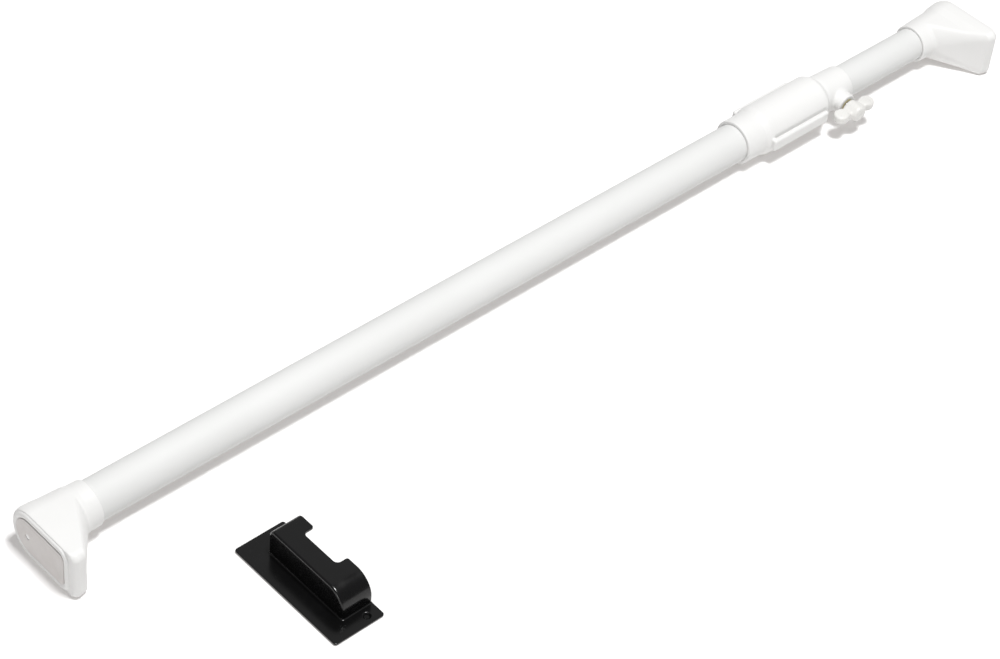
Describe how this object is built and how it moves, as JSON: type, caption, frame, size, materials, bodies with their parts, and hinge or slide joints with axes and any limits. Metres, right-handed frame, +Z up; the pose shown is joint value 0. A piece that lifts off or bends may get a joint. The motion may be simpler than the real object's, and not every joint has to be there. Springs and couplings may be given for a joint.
{
  "type": "door security bar",
  "caption": "Telescopic bar for a sliding door: round tubes with a wedge foot at each end, a clamp collar with a winged thumb screw, and a loose hooded keeper bracket.",
  "frame": {"origin": "where the tube axis meets the fixed foot's outer face", "axes": "+X along the bar from the fixed foot to the sliding foot, +Z up from the surface the bar lies on, and the toes of both feet point along -Y"},
  "size_m": [0.762, 0.1728, 0.0344],
  "materials": {
    "white_paint": "white powder coat, satin",
    "white_plastic": "white moulded plastic, soft gloss",
    "knob_plastic": "off-white moulded plastic, soft gloss",
    "pad_rubber": "pale grey soft rubber, matt",
    "hidden_plastic": "natural nylon",
    "black_plastic": "black moulded plastic, fine satin",
    "tape_foam": "dark foam tape",
    "brass": "turned brass",
    "screw_steel": "zinc plated steel",
    "rivet_steel": "white coated pin head"
  },
  "bodies": {
    "bar": {"outer_tube": "white_paint", "fixed_foot": "white_plastic", "fixed_foot_pad": "pad_rubber", "fixed_foot_rivet": "rivet_steel", "fixed_foot_plug": "hidden_plastic", "collar_body": "white_plastic", "collar_screws": "screw_steel", "guide_bush": "hidden_plastic", "threaded_insert": "brass"},
    "tube_guide": {"inner_guide": "hidden_plastic"},
    "sliding_end": {"inner_tube": "white_paint", "sliding_foot": "white_plastic", "sliding_foot_pad": "pad_rubber", "sliding_foot_rivet": "rivet_steel", "sliding_foot_plug": "hidden_plastic"},
    "shoe": {"clamp_shoe": "hidden_plastic"},
    "thumb_screw": {"thumb_screw_stud": "screw_steel", "thumb_screw_knob": "knob_plastic"},
    "keeper": {"keeper_bracket": "black_plastic", "keeper_tape": "tape_foam"}
  },
  "joints": [
    {"name": "telescope", "type": "slide", "parent": "bar", "child": "tube_guide", "axis": [1, 0, 0], "range_m": [-0.068, 0.44]},
    {"name": "foot_swivel", "type": "hinge", "parent": "tube_guide", "child": "sliding_end", "pos_m": [0.762, 0, 0], "axis": [1, 0, 0], "continuous": true},
    {"name": "shoe_press", "type": "slide", "parent": "bar", "child": "shoe", "axis": [0, -1, 0], "range_m": [-0.00025, 0.001]},
    {"name": "thumb_screw_turn", "type": "hinge", "parent": "shoe", "child": "thumb_screw", "pos_m": [0.6375, -0.025, 0], "axis": [0, -1, 0], "range_deg": [-90, 360]},
    {"name": "keeper_lift", "type": "slide", "parent": "bar", "child": "keeper", "axis": [0, 0, 1], "range_m": [0, 0.04]}
  ],
  "couplings": [
    {"joint": "thumb_screw_turn", "follows": "shoe_press", "rad_per_m": 6283.2}
  ]
}
